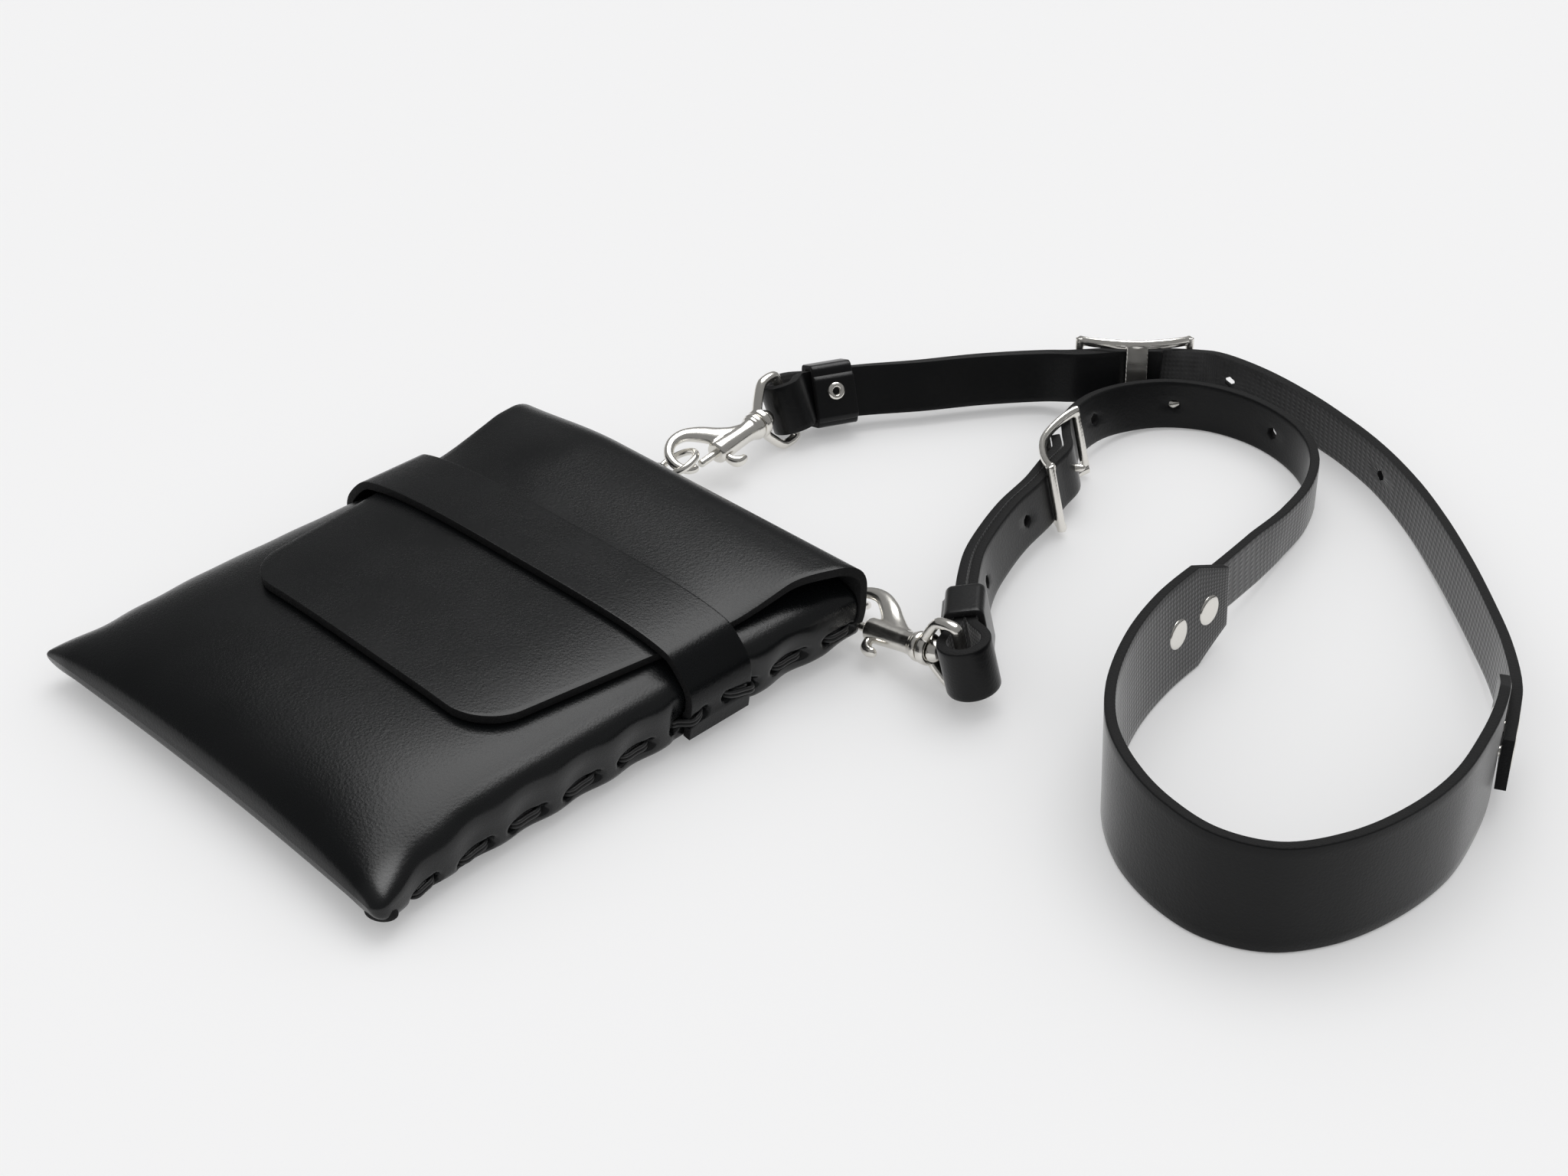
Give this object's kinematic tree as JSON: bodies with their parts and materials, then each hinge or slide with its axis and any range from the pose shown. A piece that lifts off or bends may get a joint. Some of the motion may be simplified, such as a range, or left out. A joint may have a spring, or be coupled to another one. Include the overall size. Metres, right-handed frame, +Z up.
{
  "type": "shoulder pouch",
  "caption": "Flat leather pouch lying on its back, its flap tucked under a cross band, with a shoulder strap on swivel snaps, buckles and a wide curved pad.",
  "frame": {"origin": "on the table, under the middle of the pouch's flat back", "axes": "+Z up off the table, +Y from the pouch's bottom to its mouth, +X across the pouch towards the shoulder pad"},
  "size_m": [0.3199, 0.3584, 0.0323],
  "materials": {
    "pouch_leather": "smooth black moulded leather with a soft sheen",
    "strap_leather": "black strap leather, smooth outside and rough on its cut edges",
    "nickel": "polished nickel plate"
  },
  "bodies": {
    "pouch": {"buckle_left": "nickel", "buckle_right": "nickel", "closing_band": "pouch_leather", "flap": "pouch_leather", "keeper_left": "strap_leather", "keeper_right": "strap_leather", "keeper_rivet_left": "nickel", "keeper_rivet_right": "nickel", "pad_rivet_left_1": "nickel", "pad_rivet_left_2": "nickel", "pad_rivet_right_1": "nickel", "pad_rivet_right_2": "nickel", "pouch_body": "pouch_leather", "ring_left": "nickel", "ring_right": "nickel", "ring_tab_left": "pouch_leather", "ring_tab_right": "pouch_leather", "shoulder_pad": "strap_leather", "snap_eye_left": "nickel", "snap_eye_right": "nickel", "strap_left": "strap_leather", "strap_right": "strap_leather"},
    "hook_right": {"snap_hook_right": "nickel"},
    "bolt_right": {"snap_bolt_right": "nickel"},
    "hook_left": {"snap_hook_left": "nickel"},
    "bolt_left": {"snap_bolt_left": "nickel"}
  },
  "joints": [
    {"name": "swivel_right", "type": "hinge", "parent": "pouch", "child": "hook_right", "pos_m": [0.0966, 0.0874, 0.0113], "axis": [-0.9834, -0.0172, -0.1805], "range_deg": [-18, 4]},
    {"name": "bolt_right_slide", "type": "slide", "parent": "hook_right", "child": "bolt_right", "axis": [0.9834, 0.0172, 0.1805], "range_m": [0, 0.007], "stiffness_N_per_m": 300, "springref_m": -0.004},
    {"name": "swivel_left", "type": "hinge", "parent": "pouch", "child": "hook_left", "pos_m": [-0.0232, 0.1404, 0.0115], "axis": [0.1044, -0.9932, -0.0523], "range_deg": [-30, 6]},
    {"name": "bolt_left_slide", "type": "slide", "parent": "hook_left", "child": "bolt_left", "axis": [-0.1044, 0.9932, 0.0523], "range_m": [0, 0.007], "stiffness_N_per_m": 300, "springref_m": -0.004}
  ]
}
